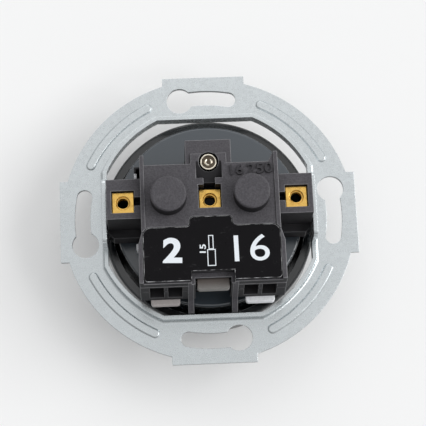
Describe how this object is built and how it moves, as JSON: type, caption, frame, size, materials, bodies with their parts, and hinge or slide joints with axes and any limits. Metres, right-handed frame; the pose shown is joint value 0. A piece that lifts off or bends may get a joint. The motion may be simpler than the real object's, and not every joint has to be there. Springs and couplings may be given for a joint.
{
  "type": "flush socket insert",
  "caption": "Round flush socket insert lying face down: steel support ring with keyhole slots, plug well with earth pin, and screwless terminals with release buttons.",
  "frame": {"origin": "centre of the front face, on the surface that the insert lies on face down", "axes": "+Z towards the wiring side, +Y from the pin line towards the earth pin, +X to the right seen from the wiring side"},
  "size_m": [0.071, 0.071, 0.0352],
  "materials": {
    "zinc_steel": "zinc plated, satin",
    "black_gloss": "glossy black",
    "black_matte": "fine-grained black",
    "white_plastic": "smooth white",
    "ivory_plastic": "smooth ivory",
    "brass": "bare brass",
    "nickel": "nickel plated",
    "spring_steel": "bare spring steel"
  },
  "bodies": {
    "insert": {"support_ring": "zinc_steel", "front_cover": "black_gloss", "socket_base": "black_matte", "terminal_lid": "black_gloss", "carrier_plate": "white_plastic", "nut_left": "brass", "nut_centre": "brass", "nut_right": "brass", "contact_left": "brass", "contact_right": "brass", "contact_clip_left": "spring_steel", "contact_clip_right": "spring_steel", "clamp_spring_left_inner": "spring_steel", "clamp_spring_left_outer": "spring_steel", "clamp_spring_right_inner": "spring_steel", "clamp_spring_right_outer": "spring_steel", "clamp_spring_earth": "spring_steel", "cover_screw": "zinc_steel", "earth_pin": "nickel", "earth_strap": "brass"},
    "release_button_left_body": {"release_button_left": "white_plastic"},
    "release_button_right_body": {"release_button_right": "white_plastic"},
    "release_button_earth_body": {"release_button_earth": "ivory_plastic"}
  },
  "joints": [
    {"name": "release_button_left_press", "type": "slide", "parent": "insert", "child": "release_button_left_body", "axis": [0, 1, 0], "range_m": [0, 0.0015], "stiffness_N_per_m": 400},
    {"name": "release_button_right_press", "type": "slide", "parent": "insert", "child": "release_button_right_body", "axis": [0, 1, 0], "range_m": [0, 0.0015], "stiffness_N_per_m": 400},
    {"name": "release_button_earth_press", "type": "slide", "parent": "insert", "child": "release_button_earth_body", "axis": [0, 1, 0], "range_m": [0, 0.0015], "stiffness_N_per_m": 400}
  ]
}
